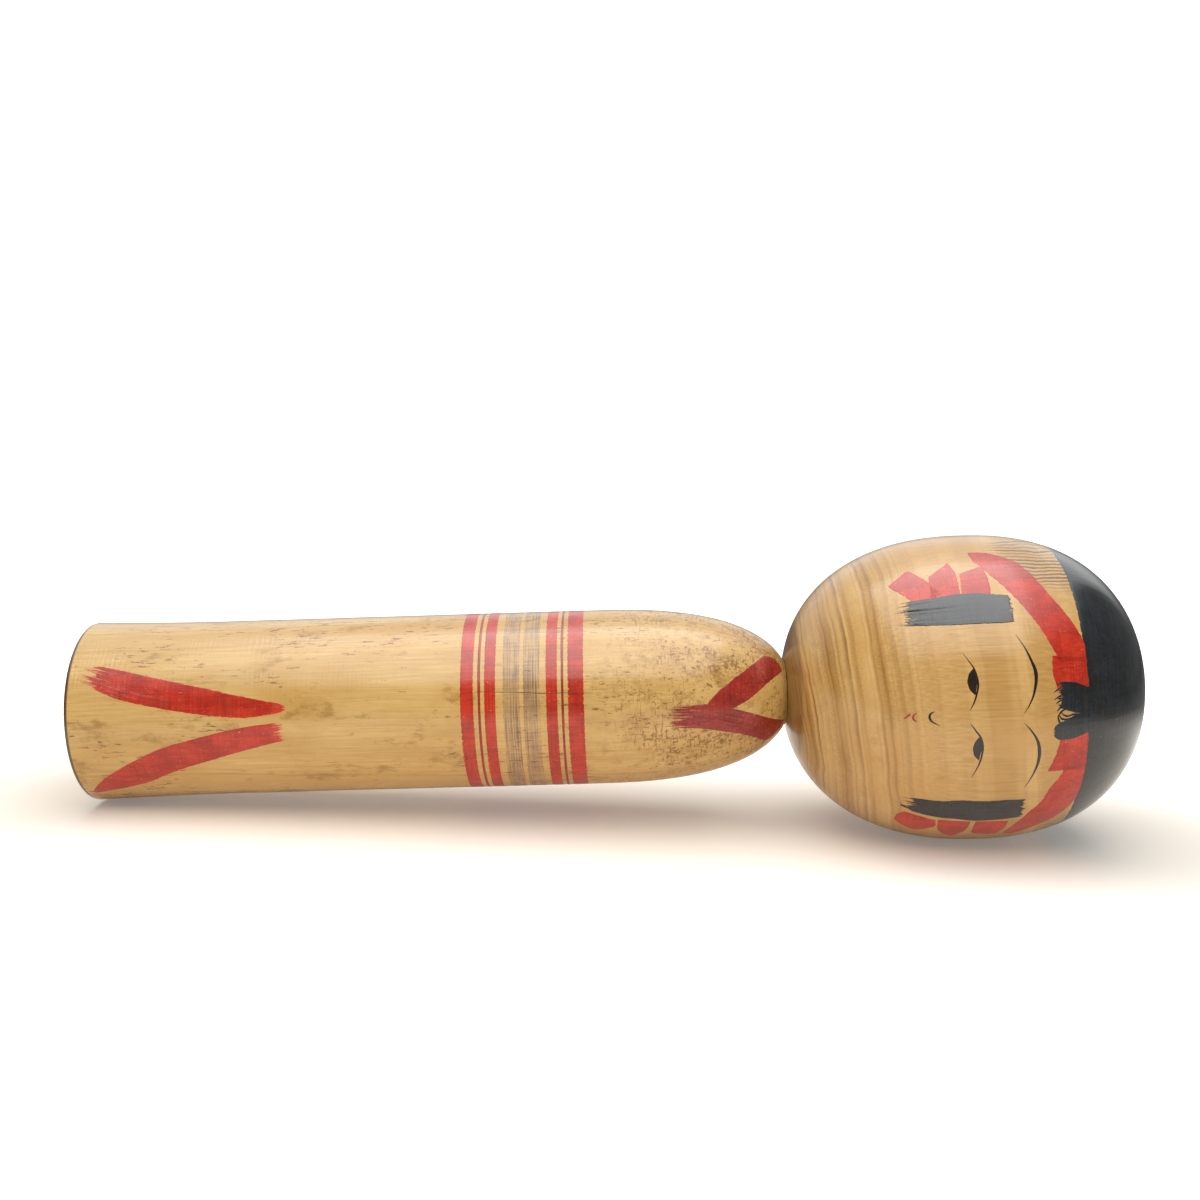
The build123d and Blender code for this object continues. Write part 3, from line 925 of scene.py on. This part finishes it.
mouthLines = {
    "mouth_upper": [(-1.3, 230.1, 0.08), (-0.2, 229.2, 0.24), (0.9, 229.1, 0.3), (2.1, 229.9, 0.16)],
    "mouth_lower": [(1.2, 226.8, 0.08), (0.4, 227.5, 0.26), (-0.8, 228.4, 0.3)],
}
for name, stroke in headRed.items():
    paintStroke(name, surfaceRadius=headHigh.x / mm, wood=turnedHead, material=redOnHead, body="head",
                slot="red_dye", **stroke)
for name, stroke in headBlack.items():
    paintStroke(name, surfaceRadius=headHigh.x / mm, wood=turnedHead, material=blackOnHead, body="head",
                slot="black_ink", **{"lift": 0.06, **stroke})
for seed, (name, points) in enumerate(faceLines.items()):
    paintStroke(name, points, headHigh.x / mm, turnedHead, linesOnHead, "head", "black_ink", seed + 61,
                bristles=8, steps=60, wobble=0.05, lift=0.05 if "pupil" in name else 0.06)
for seed, (name, points) in enumerate(mouthLines.items()):
    paintStroke(name, points, headHigh.x / mm, turnedHead, mouthOnHead, "head", "red_dye", seed + 91,
                bristles=6, steps=30, wobble=0.05)
print("painting laid on")


# the doll lies on its side for the camera: +X points down to the floor and +Z to the right
stageLook = {
    "cameraPlace": (-71.9, -383.0, 157.4), "cameraAim": (-28.2, 0.0, 147.9),
    "cameraRight": (0.033, 0.021, 1.0), "lens": 40.1, "backdrop": 1.05,
    # the floor's warm tint is painted light: warm light bounced off the wood, shown in the floor's shadow
    "floorBounceTint": (0.93, 0.85, 0.74, 1), "floorReach": 2.5, "floorGap": 0.7, "glowNear": 0.17,
    "glowOnDoll": 0.38, "glowFar": 1.0, "glowFrom": 16, "glowTo": 135, "mirroredTo": (90, 260),
    "softBelow": 0.12, "softAbove": 0.3, "mirrorFront": 0.12, "mirrorBack": 1.2, "mirrorTop": (0.64, 0.74),
    "panelTurn": -72, "panelTurnSpread": 39, "panelRise": 3, "panelRiseSpread": 28, "panelAway": 800,
    "panelRadiance": 2.4, "shineAim": (-0.97, -0.1, 0.1), "shineSpread": (0.62, 0.97), "shine": 2.1,
}


def axesMatrix(right, up, back, place):
    # columns are the object's own axes
    made = Matrix((right, up, back)).transposed().to_4x4()
    made.translation = place
    return made


def placeCamera(look):
    data = bpy.data.cameras.new("camera")
    data.lens = look["lens"]
    data.sensor_width = 36
    data.clip_start = 0.01
    camera = bpy.data.objects.new("camera", data)
    bpy.context.scene.collection.objects.link(camera)
    place = Vector(look["cameraPlace"]) * mm
    forward = (Vector(look["cameraAim"]) * mm - place).normalized()
    right = Vector(look["cameraRight"])
    right = (right - forward * right.dot(forward)).normalized()
    camera.matrix_world = axesMatrix(right, right.cross(forward), -forward, place)
    bpy.context.scene.camera = camera


def makeFloorMaterial(look):
    # matte paper that glows as painted light, dim near the doll and bright further away; its back is clear,
    # so it hides nothing from behind
    material, sheet = newMaterial("paleFloor")
    y, z = sheet.split(sheet.scaled(sheet.flow("ShaderNodeTexCoord", output="Object"), 1 / mm))[1:]
    beyond = sheet.largest(sheet.largest(z - headHigh.z / mm, z * -1), 0)
    away = sheet.vector("LENGTH", sheet.join(y, beyond, 0))
    far = sheet.smoothStep(away, look["glowFrom"], look["glowTo"])
    isSeen = sheet.flow("ShaderNodeLightPath", output="Is Camera Ray")
    seen = sheet.span(isSeen, 0, 1, look["glowOnDoll"], 1)
    strength = sheet.span(far, 0, 1, look["glowNear"], look["glowFar"]) * seen
    # its warm colour stands in for light bounced off the wood into the floor's shadow
    matte = sheet.flow("ShaderNodeBsdfDiffuse", {"Color": look["floorBounceTint"]})
    glow = sheet.flow("ShaderNodeEmission", {"Color": (1, 1, 1, 1), "Strength": strength})
    lit = sheet.flow("ShaderNodeAddShader", {0: matte, 1: glow})
    # in the gloss the far floor is dim
    dim = sheet.flow("ShaderNodeBsdfDiffuse", {"Color": (0.2, 0.2, 0.2, 1)})
    isMirrored = sheet.flow("ShaderNodeLightPath", output="Is Glossy Ray")
    hidden = isMirrored * sheet.smoothStep(away, *look["mirroredTo"])
    lit = sheet.flow("ShaderNodeMixShader", {0: hidden, 1: lit, 2: dim})
    clear = sheet.flow("ShaderNodeBsdfTransparent")
    back = sheet.flow("ShaderNodeNewGeometry", output="Backfacing")
    both = sheet.flow("ShaderNodeMixShader", {0: back, 1: lit, 2: clear})
    sheet.node("ShaderNodeOutputMaterial", {"Surface": both})
    return material


def makeFloor(look):
    # a sheet that touches the foot's rim and the head's widest circle
    footPoint = Vector((bodyHigh.x, 0, 0))
    headPoint = Vector((headHigh.x, 0, bodyHigh.z + turnedLook["widestAboveSeat"] * mm))
    along = (headPoint - footPoint).normalized()
    sideways = Vector((0, 1, 0))
    middle = (footPoint + headPoint) / 2 + Vector((look["floorGap"] * mm, 0, 0))
    reach = look["floorReach"]
    corners = [middle + (along * a + sideways * b) * reach for a, b in ((-1, -1), (-1, 1), (1, 1), (1, -1))]
    mesh = bpy.data.meshes.new("floor")
    mesh.from_pydata(corners, [], [(0, 1, 2, 3)])
    mesh.materials.append(makeFloorMaterial(look))
    floor = bpy.data.objects.new("floor", mesh)
    bpy.context.scene.collection.objects.link(floor)
    if mesh.polygons[0].normal.x > 0:
        mesh.flip_normals()


def makeRoom(look):
    # white backdrop; reflections see a dark room in front of the doll and a bright one behind it
    world = bpy.data.worlds.new("whiteRoom")
    world.use_nodes = True
    world.node_tree.nodes.clear()
    sheet = NodeSheet(world.node_tree)
    aim = sheet.flow("ShaderNodeTexCoord", output="Generated")
    aimX, aimY, aimZ = sheet.split(aim)
    behind = sheet.smoothStep(aimY, -0.1, 0.4) * sheet.smoothStep(aimX, 0.0, -0.4)
    belowTop = 1 - sheet.smoothStep(aimZ, *look["mirrorTop"])
    mirrored = sheet.span(behind * belowTop, 0, 1, look["mirrorFront"], look["mirrorBack"])
    # the lamp over the doll shows brightest in the gloss
    shine = sheet.smoothStep(sheet.vector("DOT_PRODUCT", aim, look["shineAim"]), *look["shineSpread"])
    mirrored = mirrored + shine * look["shine"]
    strength = sheet.span(aimX, 1, -1, look["softBelow"], look["softAbove"])
    for kind, chosen in (("Glossy", mirrored), ("Camera", look["backdrop"])):
        isRay = sheet.flow("ShaderNodeLightPath", output="Is " + kind + " Ray")
        strength = isRay * chosen + (1 - isRay) * strength
    room = sheet.flow("ShaderNodeBackground", {"Color": (1, 1, 1, 1), "Strength": strength})
    sheet.node("ShaderNodeOutputWorld", {"Surface": room})
    bpy.context.scene.world = world


def makePanel(look):
    # one large soft panel over the doll, its front edge drawn as a clean line in the gloss
    data = bpy.data.lights.new("windowPanel", "AREA")
    data.shape = "RECTANGLE"
    data.size, data.size_y = (2 * look["panelAway"] * mm * tan(radians(look[spread]))
                              for spread in ("panelTurnSpread", "panelRiseSpread"))
    data.energy = look["panelRadiance"] * pi * data.size * data.size_y
    panel = bpy.data.objects.new("windowPanel", data)
    bpy.context.scene.collection.objects.link(panel)
    turn, rise = radians(look["panelTurn"]), radians(look["panelRise"])
    outward = Vector((sin(turn) * cos(rise), -cos(turn) * cos(rise), sin(rise)))
    right = Vector((0, 0, 1)).cross(outward).normalized()
    place = Vector((0, 0, headHigh.z / 2)) + outward * look["panelAway"] * mm
    panel.matrix_world = axesMatrix(right, outward.cross(right), outward, place)


makeFloor(stageLook)
placeCamera(stageLook)
makeRoom(stageLook)
makePanel(stageLook)
bpy.context.scene.view_settings.view_transform = "Standard"
print("floor, camera and lights set")

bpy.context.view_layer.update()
